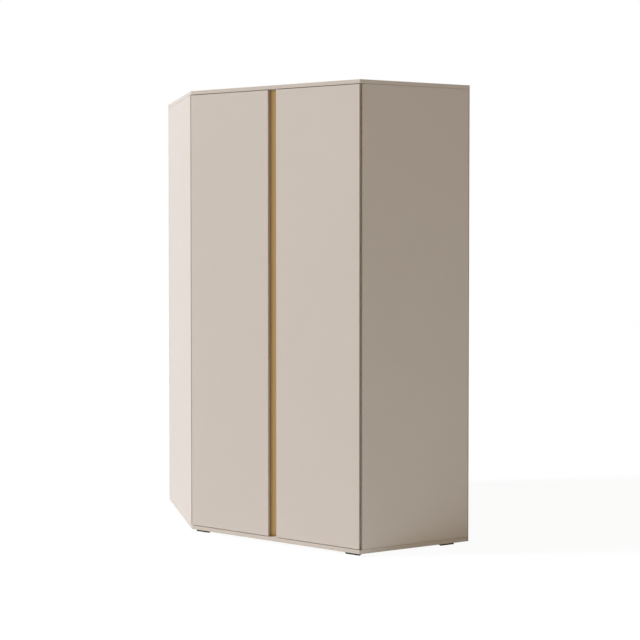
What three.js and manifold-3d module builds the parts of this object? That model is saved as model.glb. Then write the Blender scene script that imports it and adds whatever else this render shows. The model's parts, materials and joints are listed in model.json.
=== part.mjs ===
import * as THREE from "three";
import { mergeVertices } from "three/addons/utils/BufferGeometryUtils.js";
import Module from "manifold-3d";

// Corner wardrobe: a five-sided carcass that fills a room corner, with two doors across the 45 degree front.
// Millimetres, +Z up, the doors face -Y, and the origin is on the floor under the middle of the plan.
// Plan directions: along X and Y for whatever lies parallel to the front, and turned 45 degrees for the ends
// and the walls. Turned pieces keep SEAT_GAP to what they lie against, and level faces touch.

const wasm = await Module();
wasm.setup();

// Overall sizes
const WALL_SIDE = 1152; // along each wall, from the room corner to the outer face of an end panel
const END_DEPTH = 539; // of each end, square to its wall
const BODY_HEIGHT = 2085; // underside of the bottom plate to the upper face of the top plate
const BOARD = 18; // laminated chipboard of the carcass
const SEAT_GAP = 0.3; // between turned pieces that lie against each other
const CUT_OVERRUN = 1; // that every cutting solid stands past the face it opens
const WELD_DISTANCE = 0.0001; // under which two corners of a facet are one

// Feet
const FOOT_HEIGHT = 15;
const FOOT_LENGTH = 70;
const FOOT_WIDTH = 28;
const FOOT_SETBACK = 25; // from the edge of the bottom plate that it lies along
const FOOT_FRONT_CORNER_DISTANCE = 10; // from a front corner of the plate to the foot's end
const FOOT_WALL_DISTANCE = 60; // from a wall edge of the plate to the foot's end
const FOOT_CORNER_RADIUS = 3;
const FOOT_SCREW_BORE = 5;
const FOOT_RECESS_BORE = 12;
const FOOT_RECESS_DEPTH = 8;

// Back panels and the two stiles that carry the plates and the backs in the room corner
const BACK_THICKNESS = 3; // hardboard
const STILE_REACH = 100; // from the wall that the stile stands against the end of

// Doors and the grip groove between them
const DOOR_THICKNESS = 18;
const DOOR_PLATE_GAP = 3; // above and below a door
const DOOR_CORNER_SETBACK = 2; // from the front corner of the plates to the door's hinge edge
const GROOVE_WIDTH = 42; // between the two doors
const DOOR_PANEL_CLEARANCE = 2; // from a door's rear edge to the square end of the end panel

// Centre post, its gold strip and the door bumpers
const STRIP_CLEARANCE = 2; // from the back of a closed door to the face of the strip
const STRIP_THICKNESS = 2;
const STRIP_WIDTH = 56;
const POST_WIDTH = 84;
const POST_THICKNESS = 18;
const BUMPER_DIAMETER = 9;
const BUMPER_CLEARANCE = 0.3; // from the bumper to the closed door
const BUMPER_END_DISTANCE = 60; // from the end of the door
const BUMPER_DOME_SHARE = 0.45; // of its height that is domed

// Hat shelf and its supports
const HAT_SPACE = 350; // between the shelf and the top plate
const SUPPORT_LEG = 30;
const SUPPORT_WIDTH = 20;
const SUPPORT_THICKNESS = 2;
const SUPPORT_BORE = 4.5;
const SUPPORT_FRONT_DISTANCE = 110; // from the front corner along an end panel
const SUPPORT_WALL_DISTANCE = 70; // from the wall along an end panel
const SUPPORT_STILE_DISTANCE = 62; // from the room corner along a stile

// Angle brackets that hold the centre post to the plates
const POST_BRACKET_LEG = 40;
const POST_BRACKET_WIDTH = 30;

// Clothes rail and its hangers
const RAIL_SETBACK = 330; // from the front
const RAIL_LENGTH = 1000;
const RAIL_HEIGHT = 30;
const RAIL_WIDTH = 15;
const RAIL_WALL = 1.2;
const RAIL_DROP = 46; // from the shelf to the middle of the rail
const RAIL_CLEARANCE = 0.3;
const HANGER_WALL = 2.5;
const HANGER_WIDTH = 14; // along the rail
const HANGER_STEM = 9;
const HANGER_FLANGE_LENGTH = 46;
const HANGER_FLANGE_WIDTH = 26;
const HANGER_FLANGE_THICKNESS = 2.5;
const HANGER_END_DISTANCE = 40; // from the end of the rail to the middle of a hanger
const HANGER_SCREW_BORE = 4.5;
const HANGER_SCREW_INSET = 7; // from the end of the flange

// Concealed hinges for a door that meets its panel at 135 degrees
const HINGE_COUNT = 4; // on each door
const HINGE_END_DISTANCE = 100; // from the end of the door to the first hinge
const CUP_EDGE_DISTANCE = 22.5; // from the door's edge to the middle of the cup
const CUP_BORE = 35;
const CUP_BORE_DEPTH = 12;
const CUP_CLEARANCE = 0.3;
const CUP_WALL = 1;
const CUP_RIM = 1; // thickness of the rim and wings on the back of the door
const CUP_RIM_WIDTH = 1.2; // that the rim stands past the bore
const WING_LENGTH = 60;
const WING_WIDTH = 13;
const WING_OFFSET = 9.5; // from the middle of the cup towards the middle of the door
const WING_SCREW_SPACING = 48;
const WING_SCREW_BORE = 4.5;
const ARM_TIP_CLEARANCE = 0.3; // from the arm's end to the rim of the closed cup
const ARM_WIDTH = 15;
const ARM_WALL = 1.4;
const ARM_HEIGHT = 11; // above the panel, over the mounting plate
const ARM_NOSE_HEIGHT = 16; // above the panel, over the cup
const ARM_NOSE_UNDERSIDE = 7;
const ARM_NOSE_LENGTH = 14; // of the level top of the nose, measured from its tip
const ARM_SHOULDER_LENGTH = 12; // of the slope from the nose down to the arm
const PLATE_LENGTH = 32; // along the panel
const PLATE_SPAN = 50; // from wing to wing, up the panel
const PLATE_WING_WIDTH = 14;
const PLATE_THICKNESS = 2;
const PLATE_RIB_WIDTH = 11; // inside the arm's channel
const PLATE_RIB_HEIGHT = 6;
const PLATE_PANEL_DISTANCE = 20; // from the square end of the end panel
const PLATE_SCREW_SPACING = 32;
const PLATE_SCREW_BORE = 5;
const ARM_PLATE_CLEARANCE = 0.3;

// Facets of round shapes
const ROUND_SEGMENTS = 24;
const SMALL_ROUND_SEGMENTS = 12;
const CORNER_SEGMENTS = 4;
const OVAL_SEGMENTS = 8;

// Plan, worked out from the overall sizes
const TURN = Math.PI / 4;
const DIAGONAL = Math.SQRT2;
const FRONT_WIDTH = (WALL_SIDE - END_DEPTH) * DIAGONAL;
const HALF_FRONT = FRONT_WIDTH / 2;
const PLAN_DEPTH = (END_DEPTH + WALL_SIDE) / DIAGONAL;
const FRONT_Y = -PLAN_DEPTH / 2;
const ROOM_CORNER_Y = PLAN_DEPTH / 2;

// Levels
const BODY_BOTTOM = FOOT_HEIGHT;
const BODY_TOP = BODY_BOTTOM + BODY_HEIGHT;
const INSIDE_BOTTOM = BODY_BOTTOM + BOARD;
const INSIDE_TOP = BODY_TOP - BOARD;
const DOOR_BOTTOM = INSIDE_BOTTOM + DOOR_PLATE_GAP;
const DOOR_TOP = INSIDE_TOP - DOOR_PLATE_GAP;
const SHELF_TOP = INSIDE_TOP - HAT_SPACE;
const SHELF_BOTTOM = SHELF_TOP - BOARD;

// Depths behind the front
const STRIP_FACE = DOOR_THICKNESS + STRIP_CLEARANCE;
const POST_FACE = STRIP_FACE + STRIP_THICKNESS;
const POST_REAR = POST_FACE + POST_THICKNESS;
const DOOR_EDGE = HALF_FRONT - DOOR_CORNER_SETBACK;

// Distances from a wall
const BACK_FACE = BACK_THICKNESS + SEAT_GAP;
const STILE_FACE = BACK_FACE + BOARD;

// Distance along an end panel from the front corner to its square end, just clear of the door's rear edge
const PANEL_START = (DOOR_THICKNESS - DOOR_CORNER_SETBACK) / DIAGONAL + DOOR_PANEL_CLEARANCE;

const cashmere = new THREE.MeshStandardMaterial({ color: 0xcdc2b8, roughness: 0.55, metalness: 0 });
const hardboard = new THREE.MeshStandardMaterial({ color: 0xd9d1c7, roughness: 0.7, metalness: 0 });
const gold = new THREE.MeshStandardMaterial({ color: 0xc09a5c, roughness: 0.35, metalness: 0.9 });
const steel = new THREE.MeshStandardMaterial({ color: 0xb9bcbe, roughness: 0.3, metalness: 1 });
const chrome = new THREE.MeshStandardMaterial({ color: 0xd6d8da, roughness: 0.15, metalness: 1 });
const blackPlastic = new THREE.MeshStandardMaterial({ color: 0x1b1b1c, roughness: 0.6, metalness: 0 });
const clearRubber = new THREE.MeshStandardMaterial({ color: 0xe6e4de, roughness: 0.35, metalness: 0 });

function piece(name, geometry, material) {
  const mesh = new THREE.Mesh(geometry, material);
  mesh.name = name;
  return mesh;
}

function group(members, place = {}) {
  const holder = new THREE.Group();
  holder.position.set(place.x ?? 0, place.y ?? 0, place.z ?? 0);
  holder.rotation.z = place.turn ?? 0;
  holder.add(...members);
  return holder;
}

function block([x0, x1], [y0, y1], [z0, z1]) {
  const geometry = new THREE.BoxGeometry(x1 - x0, y1 - y0, z1 - z0);
  return geometry.translate((x0 + x1) / 2, (y0 + y1) / 2, (z0 + z1) / 2);
}

// An outline of points, extruded straight up from z = 0
function prism(points, height, holes = [], curveSegments = CORNER_SEGMENTS) {
  const shape = points instanceof THREE.Shape ? points : outlineOf(points);
  shape.holes.push(...holes);
  return new THREE.ExtrudeGeometry(shape, { depth: height, bevelEnabled: false, curveSegments });
}

function outlineOf(points) {
  return new THREE.Shape(points.map(([x, y]) => new THREE.Vector2(x, y)));
}

// A rectangle with round corners about a middle point
function roundedRectangle(width, height, radius, [middleX, middleY] = [0, 0]) {
  const right = width / 2 - radius;
  const top = height / 2 - radius;
  const shape = new THREE.Shape();
  shape.absarc(middleX + right, middleY + top, radius, 0, Math.PI / 2);
  shape.absarc(middleX - right, middleY + top, radius, Math.PI / 2, Math.PI);
  shape.absarc(middleX - right, middleY - top, radius, Math.PI, Math.PI * 1.5);
  shape.absarc(middleX + right, middleY - top, radius, Math.PI * 1.5, Math.PI * 2);
  return shape;
}

function roundHole(diameter, [x, y]) {
  return new THREE.Path().absarc(x, y, diameter / 2, 0, Math.PI * 2, true);
}

function cylinder(diameter, length, segments = SMALL_ROUND_SEGMENTS) {
  return new THREE.CylinderGeometry(diameter / 2, diameter / 2, length, segments);
}

function solid(geometry) {
  const bare = new THREE.BufferGeometry();
  const flat = geometry.index ? geometry.toNonIndexed() : geometry;
  bare.setAttribute("position", flat.getAttribute("position"));
  const merged = mergeVertices(bare, WELD_DISTANCE);
  const mesh = new wasm.Mesh({
    numProp: 3,
    vertProperties: merged.attributes.position.array,
    triVerts: new Uint32Array(merged.index.array),
  });
  return new wasm.Manifold(mesh);
}

function surface(body) {
  const { vertProperties, triVerts } = body.getMesh();
  const geometry = new THREE.BufferGeometry();
  geometry.setAttribute("position", new THREE.BufferAttribute(new Float32Array(vertProperties), 3));
  geometry.setIndex(new THREE.BufferAttribute(new Uint32Array(triVerts), 1));
  const facets = geometry.toNonIndexed();
  facets.computeVertexNormals();
  return facets;
}

function joined(first, ...others) {
  return surface(others.reduce((body, other) => body.add(solid(other)), solid(first)));
}

function without(first, ...cutters) {
  return surface(cutters.reduce((body, cutter) => body.subtract(solid(cutter)), solid(first)));
}

// A point of the plan given by its distances from the right wall's and the left wall's corner end
function fromRoomCorner(alongRightWall, alongLeftWall) {
  return [
    (alongRightWall - alongLeftWall) / DIAGONAL,
    ROOM_CORNER_Y - (alongRightWall + alongLeftWall) / DIAGONAL,
  ];
}

function mirrored(points) {
  return points.map(([x, y]) => [-x, y]).reverse();
}

// Half of a five-sided outline, from the front round to the right wall, set in from each side
function rightHalfOutline(frontInset, endInset, wallInset) {
  const frontCorner = [HALF_FRONT + frontInset - endInset * DIAGONAL, FRONT_Y + frontInset];
  return [frontCorner, fromRoomCorner(WALL_SIDE - endInset, wallInset)];
}

// The plates that close the carcass above and below, with the whole five-sided outline less the backs
function plate(name, bottom) {
  const half = rightHalfOutline(0, 0, BACK_FACE);
  const corner = fromRoomCorner(BACK_FACE, BACK_FACE);
  const geometry = prism([...half, corner, ...mirrored(half)], BOARD);
  return group([piece(name, geometry, cashmere)], { z: bottom });
}

// The hat shelf fills the plan behind the centre post and is notched round the stiles
function hatShelf() {
  const half = [
    ...rightHalfOutline(POST_REAR, BOARD + SEAT_GAP, BACK_FACE),
    fromRoomCorner(STILE_REACH + SEAT_GAP, BACK_FACE),
    fromRoomCorner(STILE_REACH + SEAT_GAP, STILE_FACE + SEAT_GAP),
  ];
  const notch = fromRoomCorner(STILE_FACE + SEAT_GAP, STILE_FACE + SEAT_GAP);
  const geometry = prism([...half, notch, ...mirrored(half)], BOARD);
  return group([piece("hat_shelf", geometry, cashmere)], { z: SHELF_BOTTOM });
}

// Everything that is laid out from the walls, in a frame with X along the right wall and -Y along the left
function roomCornerPieces() {
  const height = [BODY_BOTTOM, BODY_TOP];
  const inside = [INSIDE_BOTTOM, INSIDE_TOP];
  const leftBack = block([0, BACK_THICKNESS], [-WALL_SIDE, 0], height);
  const rightBack = block([BACK_FACE, WALL_SIDE], [-BACK_THICKNESS, 0], height);
  const leftStile = block([BACK_FACE, STILE_FACE], [-STILE_REACH, -BACK_FACE], inside);
  const rightStile = block([STILE_FACE + SEAT_GAP, STILE_REACH], [-STILE_FACE, -BACK_FACE], inside);
  const rightSupport = group([piece("shelf_support_rear_right", angleBracket(), steel)], {
    x: SUPPORT_STILE_DISTANCE,
    y: -STILE_FACE - SEAT_GAP,
    z: SHELF_BOTTOM,
    turn: Math.PI,
  });
  const leftSupport = group([piece("shelf_support_rear_left", angleBracket(), steel)], {
    x: STILE_FACE + SEAT_GAP,
    y: -SUPPORT_STILE_DISTANCE,
    z: SHELF_BOTTOM,
    turn: -Math.PI / 2,
  });
  const members = [
    piece("left_back_panel", leftBack, hardboard),
    piece("right_back_panel", rightBack, hardboard),
    piece("left_corner_stile", leftStile, cashmere),
    piece("right_corner_stile", rightStile, cashmere),
    rightSupport,
    leftSupport,
  ];
  return group(members, { y: ROOM_CORNER_Y, turn: -TURN });
}

// An angle bracket against a wall that lies on its -Y side, hanging down from z = 0 and reaching out to +Y
function angleBracket(leg = SUPPORT_LEG, width = SUPPORT_WIDTH) {
  const profile = [
    [0, 0],
    [0, -leg],
    [SUPPORT_THICKNESS, -leg],
    [SUPPORT_THICKNESS, -SUPPORT_THICKNESS],
    [leg, -SUPPORT_THICKNESS],
    [leg, 0],
  ];
  const bent = prism(profile, width);
  bent.rotateX(Math.PI / 2).rotateZ(Math.PI / 2).translate(-width / 2, 0, 0);
  const wallScrew = cylinder(SUPPORT_BORE, SUPPORT_THICKNESS + 2 * CUT_OVERRUN);
  wallScrew.translate(0, SUPPORT_THICKNESS / 2, (-leg - SUPPORT_THICKNESS) / 2);
  const shelfScrew = cylinder(SUPPORT_BORE, SUPPORT_THICKNESS + 2 * CUT_OVERRUN);
  shelfScrew.rotateX(Math.PI / 2).translate(0, (leg + SUPPORT_THICKNESS) / 2, -SUPPORT_THICKNESS / 2);
  return without(bent, wallScrew, shelfScrew);
}

// The post that stands between the plates behind the grip groove, its gold strip and its two brackets
function centrePost() {
  const height = [INSIDE_BOTTOM, INSIDE_TOP];
  const depth = [FRONT_Y + POST_FACE, FRONT_Y + POST_REAR];
  const post = block([-POST_WIDTH / 2, POST_WIDTH / 2], depth, height);
  const stripDepth = [FRONT_Y + STRIP_FACE, FRONT_Y + POST_FACE];
  const strip = block([-STRIP_WIDTH / 2, STRIP_WIDTH / 2], stripDepth, height);
  const upper = piece("post_bracket_top", angleBracket(POST_BRACKET_LEG, POST_BRACKET_WIDTH), steel);
  upper.position.set(0, FRONT_Y + POST_REAR, INSIDE_TOP);
  const lower = piece("post_bracket_bottom", angleBracket(POST_BRACKET_LEG, POST_BRACKET_WIDTH), steel);
  lower.position.set(0, FRONT_Y + POST_REAR, INSIDE_BOTTOM);
  lower.rotation.y = Math.PI;
  return group([
    piece("centre_post", post, cashmere),
    piece("gold_strip", strip, gold),
    upper,
    lower,
  ]);
}

// A soft domed pad on the post that a closing door meets
function bumper(name, height) {
  const thickness = POST_FACE - DOOR_THICKNESS - BUMPER_CLEARANCE;
  const radius = BUMPER_DIAMETER / 2;
  const dome = thickness * BUMPER_DOME_SHARE;
  const profile = new THREE.Path();
  profile.moveTo(0, 0);
  profile.lineTo(radius, 0);
  profile.lineTo(radius, thickness - dome);
  profile.quadraticCurveTo(radius, thickness, 0, thickness);
  const pad = new THREE.LatheGeometry(profile.getPoints(CORNER_SEGMENTS), SMALL_ROUND_SEGMENTS);
  const mesh = piece(name, pad, clearRubber);
  mesh.rotation.x = Math.PI;
  mesh.position.set((STRIP_WIDTH + POST_WIDTH) / 4, FRONT_Y + POST_FACE, height);
  return mesh;
}

function hingeHeights() {
  const first = DOOR_BOTTOM + HINGE_END_DISTANCE;
  const last = DOOR_TOP - HINGE_END_DISTANCE;
  return Array.from({ length: HINGE_COUNT }, (_, i) => first + ((last - first) * i) / (HINGE_COUNT - 1));
}

// The door board, with a blind bore in its back for each hinge cup
function door(name) {
  const board = block([GROOVE_WIDTH / 2, DOOR_EDGE], [0, DOOR_THICKNESS], [DOOR_BOTTOM, DOOR_TOP]);
  const bores = hingeHeights().map((height) => {
    const bore = cylinder(CUP_BORE, CUP_BORE_DEPTH + CUT_OVERRUN, ROUND_SEGMENTS);
    const middle = DOOR_THICKNESS + (CUT_OVERRUN - CUP_BORE_DEPTH) / 2;
    return bore.translate(DOOR_EDGE - CUP_EDGE_DISTANCE, middle, height);
  });
  return group([piece(name, without(board, ...bores), cashmere)], { y: FRONT_Y });
}

// A pressed cup with a rim and two wings that are screwed to the back of the door
function hingeCup(name, height) {
  const outer = CUP_BORE / 2 - CUP_CLEARANCE;
  const depth = CUP_BORE_DEPTH - CUP_CLEARANCE;
  const rim = CUP_BORE / 2 + CUP_RIM_WIDTH;
  const profile = [
    [0, -depth],
    [outer, -depth],
    [outer, 0],
    [rim, 0],
    [rim, CUP_RIM],
    [outer - CUP_WALL, CUP_RIM],
    [outer - CUP_WALL, CUP_WALL - depth],
    [0, CUP_WALL - depth],
  ];
  const bowl = new THREE.LatheGeometry(
    profile.map(([x, y]) => new THREE.Vector2(x, y)),
    ROUND_SEGMENTS,
  );
  const wings = prism(roundedRectangle(WING_WIDTH, WING_LENGTH, WING_WIDTH / 2), CUP_RIM);
  wings.rotateX(-Math.PI / 2).translate(-WING_OFFSET, 0, 0);
  const hollow = cylinder(2 * (outer - CUP_WALL), CUP_RIM + 2 * CUT_OVERRUN, ROUND_SEGMENTS);
  const screws = [-1, 1].map((side) => {
    const bore = cylinder(WING_SCREW_BORE, CUP_RIM + 2 * CUT_OVERRUN);
    return bore.translate(-WING_OFFSET, 0, (side * WING_SCREW_SPACING) / 2);
  });
  const flange = without(wings, hollow, ...screws);
  const cup = piece(name, joined(bowl, flange), steel);
  cup.position.set(DOOR_EDGE - CUP_EDGE_DISTANCE, FRONT_Y + DOOR_THICKNESS, height);
  return cup;
}

// Places on the hinge, in the frame of an end panel: X along the panel from the front corner, Y square to
// it and inwards from its outer face
const ARM_REST = BOARD + SEAT_GAP + PLATE_THICKNESS + ARM_PLATE_CLEARANCE;
const TIP_SUM = (DOOR_THICKNESS + CUP_RIM + ARM_TIP_CLEARANCE) * DIAGONAL; // X + Y of the arm's sloping tip

function hingeArm(name, height) {
  const noseTop = BOARD + ARM_NOSE_HEIGHT;
  const noseBottom = BOARD + ARM_NOSE_UNDERSIDE;
  const armTop = BOARD + ARM_HEIGHT;
  const tip = TIP_SUM - noseTop;
  const shoulder = tip + ARM_NOSE_LENGTH;
  const plateStart = PANEL_START + PLATE_PANEL_DISTANCE;
  const tail = plateStart + PLATE_LENGTH + ARM_PLATE_CLEARANCE + ARM_WALL;
  const outer = [
    [tip, noseTop],
    [TIP_SUM - noseBottom, noseBottom],
    [plateStart - (noseBottom - ARM_REST), ARM_REST],
    [tail, ARM_REST],
    [tail, armTop - ARM_WALL],
    [tail - ARM_WALL, armTop],
    [shoulder + ARM_SHOULDER_LENGTH, armTop],
    [shoulder, noseTop],
  ].reverse();
  const channel = [
    [tip + ARM_WALL * 2, noseTop - ARM_WALL],
    [TIP_SUM - noseBottom + ARM_WALL * 2, noseBottom - CUT_OVERRUN],
    [TIP_SUM - noseBottom + ARM_WALL * 2, BOARD],
    [tail - ARM_WALL, BOARD],
    [tail - ARM_WALL, armTop - ARM_WALL],
    [shoulder + ARM_SHOULDER_LENGTH - ARM_WALL, armTop - ARM_WALL],
    [shoulder - ARM_WALL, noseTop - ARM_WALL],
  ].reverse();
  const hollowWidth = ARM_WIDTH - 2 * ARM_WALL;
  const body = prism(outer, ARM_WIDTH).translate(0, 0, -ARM_WIDTH / 2);
  const hollow = prism(channel, hollowWidth).translate(0, 0, -hollowWidth / 2);
  const arm = piece(name, without(body, hollow), steel);
  arm.position.z = height;
  return arm;
}

// The mounting plate: a rib that the arm clips over and two wings that are screwed to the end panel
function hingePlate(name, height) {
  const start = PANEL_START + PLATE_PANEL_DISTANCE;
  const middle = start + PLATE_LENGTH / 2;
  const seat = BOARD + SEAT_GAP;
  const wings = prism(
    roundedRectangle(PLATE_WING_WIDTH, PLATE_SPAN, PLATE_WING_WIDTH / 2),
    PLATE_THICKNESS,
    [-1, 1].map((side) => roundHole(PLATE_SCREW_BORE, [0, (side * PLATE_SCREW_SPACING) / 2])),
  );
  wings.rotateX(-Math.PI / 2).translate(middle, seat, 0);
  const ribHalf = PLATE_RIB_WIDTH / 2;
  const rib = block([start, start + PLATE_LENGTH], [seat, seat + PLATE_RIB_HEIGHT], [-ribHalf, ribHalf]);
  const plateMesh = piece(name, joined(wings, rib), steel);
  plateMesh.position.z = height;
  return plateMesh;
}

// One end of the wardrobe, as it stands on the right; the left end is its mirror image
function endSide(side) {
  const inside = [INSIDE_BOTTOM, INSIDE_TOP];
  const panelLength = [PANEL_START, END_DEPTH - BACK_FACE];
  const supportWall = END_DEPTH - SUPPORT_WALL_DISTANCE;
  const heights = hingeHeights();
  const onPanel = [
    piece(`${side}_end_panel`, block(panelLength, [0, BOARD], inside), cashmere),
    shelfSupport(`shelf_support_front_${side}`, SUPPORT_FRONT_DISTANCE),
    shelfSupport(`shelf_support_middle_${side}`, supportWall),
    ...heights.map((height, i) => hingePlate(`${side}_hinge_plate_${i + 1}`, height)),
    ...heights.map((height, i) => hingeArm(`${side}_hinge_arm_${i + 1}`, height)),
  ];
  const foot = rearFoot(`${side}_rear_foot`);
  const holder = group([
    group([...onPanel, foot], { x: HALF_FRONT, y: FRONT_Y, turn: TURN }),
    door(`${side}_door`),
    ...heights.map((height, i) => hingeCup(`${side}_hinge_cup_${i + 1}`, height)),
    bumper(`${side}_bumper_lower`, DOOR_BOTTOM + BUMPER_END_DISTANCE),
    bumper(`${side}_bumper_upper`, DOOR_TOP - BUMPER_END_DISTANCE),
    frontFoot(`${side}_front_foot`),
  ]);
  holder.scale.x = side === "left" ? -1 : 1;
  return holder;
}

function shelfSupport(name, distance) {
  return group([piece(name, angleBracket(), steel)], {
    x: distance,
    y: BOARD + SEAT_GAP,
    z: SHELF_BOTTOM,
  });
}

// A low black foot with a recessed screw hole
function foot(name) {
  const outline = roundedRectangle(FOOT_LENGTH, FOOT_WIDTH, FOOT_CORNER_RADIUS);
  const recess = cylinder(FOOT_RECESS_BORE, FOOT_RECESS_DEPTH + CUT_OVERRUN, SMALL_ROUND_SEGMENTS);
  recess.rotateX(Math.PI / 2).translate(0, 0, (FOOT_RECESS_DEPTH - CUT_OVERRUN) / 2);
  const screw = cylinder(FOOT_SCREW_BORE, FOOT_HEIGHT + 2 * CUT_OVERRUN, SMALL_ROUND_SEGMENTS);
  screw.rotateX(Math.PI / 2).translate(0, 0, FOOT_HEIGHT / 2);
  return piece(name, without(prism(outline, FOOT_HEIGHT), recess, screw), blackPlastic);
}

function frontFoot(name) {
  const mesh = foot(name);
  const x = HALF_FRONT - FOOT_FRONT_CORNER_DISTANCE - FOOT_LENGTH / 2;
  mesh.position.set(x, FRONT_Y + FOOT_SETBACK + FOOT_WIDTH / 2, 0);
  return mesh;
}

// In the frame of an end panel
function rearFoot(name) {
  const mesh = foot(name);
  mesh.position.set(
    END_DEPTH - FOOT_WALL_DISTANCE - FOOT_LENGTH / 2,
    FOOT_SETBACK + FOOT_WIDTH / 2,
    0,
  );
  return mesh;
}

function roomCornerFoot() {
  const mesh = foot("corner_foot");
  const inset = (FOOT_LENGTH + FOOT_WIDTH) / 2 + FOOT_SETBACK * DIAGONAL;
  mesh.position.set(0, ROOM_CORNER_Y - inset, 0);
  return mesh;
}

// An oval outline standing on its narrow side: two half rounds joined by straight flanks
function ovalOutline(width, height, Kind = THREE.Shape) {
  const radius = width / 2;
  const straight = height / 2 - radius;
  const oval = new Kind();
  oval.absarc(0, straight, radius, 0, Math.PI);
  oval.absarc(0, -straight, radius, Math.PI, Math.PI * 2);
  return oval;
}

function clothesRail() {
  const bore = ovalOutline(RAIL_WIDTH - 2 * RAIL_WALL, RAIL_HEIGHT - 2 * RAIL_WALL, THREE.Path);
  const tube = prism(ovalOutline(RAIL_WIDTH, RAIL_HEIGHT), RAIL_LENGTH, [bore], OVAL_SEGMENTS);
  alongX(tube, RAIL_LENGTH);
  const hangerPlaces = [
    ["rail_hanger_left", HANGER_END_DISTANCE - RAIL_LENGTH / 2],
    ["rail_hanger_middle", 0],
    ["rail_hanger_right", RAIL_LENGTH / 2 - HANGER_END_DISTANCE],
  ];
  const members = [
    piece("clothes_rail", tube, chrome),
    ...hangerPlaces.map(([name, x]) => railHanger(name, x)),
  ];
  return group(members, { y: FRONT_Y + RAIL_SETBACK, z: SHELF_BOTTOM - RAIL_DROP });
}

// Turns a prism drawn in X and Y so that the drawing stands in Y and Z and the prism lies along X
function alongX(geometry, length) {
  return geometry.rotateX(Math.PI / 2).rotateZ(Math.PI / 2).translate(-length / 2, 0, 0);
}

// A hanger: a flange under the shelf, a stem, and a loop that the rail is threaded through
function railHanger(name, x) {
  const loopHole = ovalOutline(
    RAIL_WIDTH + 2 * RAIL_CLEARANCE,
    RAIL_HEIGHT + 2 * RAIL_CLEARANCE,
    THREE.Path,
  );
  const loopWidth = RAIL_WIDTH + 2 * (RAIL_CLEARANCE + HANGER_WALL);
  const loopHeight = RAIL_HEIGHT + 2 * (RAIL_CLEARANCE + HANGER_WALL);
  const loop = prism(ovalOutline(loopWidth, loopHeight), HANGER_WIDTH, [loopHole], OVAL_SEGMENTS);
  alongX(loop, HANGER_WIDTH);
  const stemFoot = (RAIL_HEIGHT + HANGER_WALL) / 2 + RAIL_CLEARANCE;
  const stem = block(
    [-HANGER_WIDTH / 2, HANGER_WIDTH / 2],
    [-HANGER_STEM / 2, HANGER_STEM / 2],
    [stemFoot, RAIL_DROP],
  );
  const screwPlace = HANGER_FLANGE_LENGTH / 2 - HANGER_SCREW_INSET;
  const flange = prism(
    roundedRectangle(HANGER_FLANGE_LENGTH, HANGER_FLANGE_WIDTH, HANGER_SCREW_INSET),
    HANGER_FLANGE_THICKNESS,
    [-1, 1].map((end) => roundHole(HANGER_SCREW_BORE, [end * screwPlace, 0])),
  );
  flange.translate(0, 0, RAIL_DROP - HANGER_FLANGE_THICKNESS);
  const hanger = piece(name, joined(loop, stem, flange), chrome);
  hanger.position.x = x;
  return hanger;
}

const wardrobe = new THREE.Group();
wardrobe.name = "corner_wardrobe";
wardrobe.add(
  plate("bottom_plate", BODY_BOTTOM),
  plate("top_plate", INSIDE_TOP),
  endSide("left"),
  endSide("right"),
  roomCornerPieces(),
  hatShelf(),
  centrePost(),
  clothesRail(),
  roomCornerFoot(),
);

export default wardrobe;
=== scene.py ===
"""The looks of a corner wardrobe: boards, doors, gold grip strip, hinges, rail, feet and its stage."""

import json
import math

import bmesh
import bpy
from bpy.props import FloatProperty, FloatVectorProperty, PointerProperty
from mathutils import Matrix, Vector


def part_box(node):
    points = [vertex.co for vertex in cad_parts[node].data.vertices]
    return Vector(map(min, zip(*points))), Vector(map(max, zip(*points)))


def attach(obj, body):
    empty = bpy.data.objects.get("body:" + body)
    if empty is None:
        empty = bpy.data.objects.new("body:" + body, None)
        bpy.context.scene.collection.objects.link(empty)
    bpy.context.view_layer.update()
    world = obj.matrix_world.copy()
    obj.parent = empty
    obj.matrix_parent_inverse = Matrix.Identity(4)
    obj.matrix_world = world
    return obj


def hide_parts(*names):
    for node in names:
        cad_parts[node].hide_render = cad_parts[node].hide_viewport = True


bl_info = {
    "name": "Corner Wardrobe",
    "version": (1, 0, 0),
    "blender": (4, 5, 0),
    "location": "View3D > Sidebar > Wardrobe",
    "description": "Dresses the corner wardrobe: boards, doors, grip strip, fittings and stage",
    "category": "Object",
}

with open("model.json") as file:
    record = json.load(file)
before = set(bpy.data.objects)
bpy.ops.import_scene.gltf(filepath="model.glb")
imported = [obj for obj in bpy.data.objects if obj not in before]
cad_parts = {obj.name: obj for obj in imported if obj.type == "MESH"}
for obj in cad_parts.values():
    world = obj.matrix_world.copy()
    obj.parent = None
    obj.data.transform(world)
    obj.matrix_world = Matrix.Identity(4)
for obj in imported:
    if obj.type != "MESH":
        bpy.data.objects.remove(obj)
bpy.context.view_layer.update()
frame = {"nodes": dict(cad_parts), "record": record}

NODES = frame["nodes"]
BODY_OF = {
    node: body
    for body, members in frame["record"]["behaviour"]["bodies"].items()
    for node in members
}
SIDES = {"left": -1, "right": 1}
HINGES = range(1, 1 + sum(node.startswith("left_hinge_cup") for node in NODES))
DIAGONAL = math.sqrt(0.5)
UP = Vector((0, 0, 1))
FORWARD = Vector((0, -1, 0))
WELD = 0.00001
SHORT_EDGE = 0.012  # shorter edges of a board, such as the facets of a bore, stay sharp
NOISE_LOW, NOISE_HIGH = 0.3, 0.7  # nearly all of a noise lies between them
LAMPS = (
    {
        "name": "key",
        "azimuth": 60,
        "elevation": 50,
        "irradiance": 3.30,
        "width": 3,
        "colour": (0.842, 0.915, 1.0),
        "glossy": True,
    },
    {
        "name": "front_fill",
        "azimuth": 0,
        "elevation": 15,
        "irradiance": 0.676,
        "width": 12,
        "colour": (1.0, 0.828, 0.592),
        "glossy": False,
    },
)


# Settings


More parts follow.
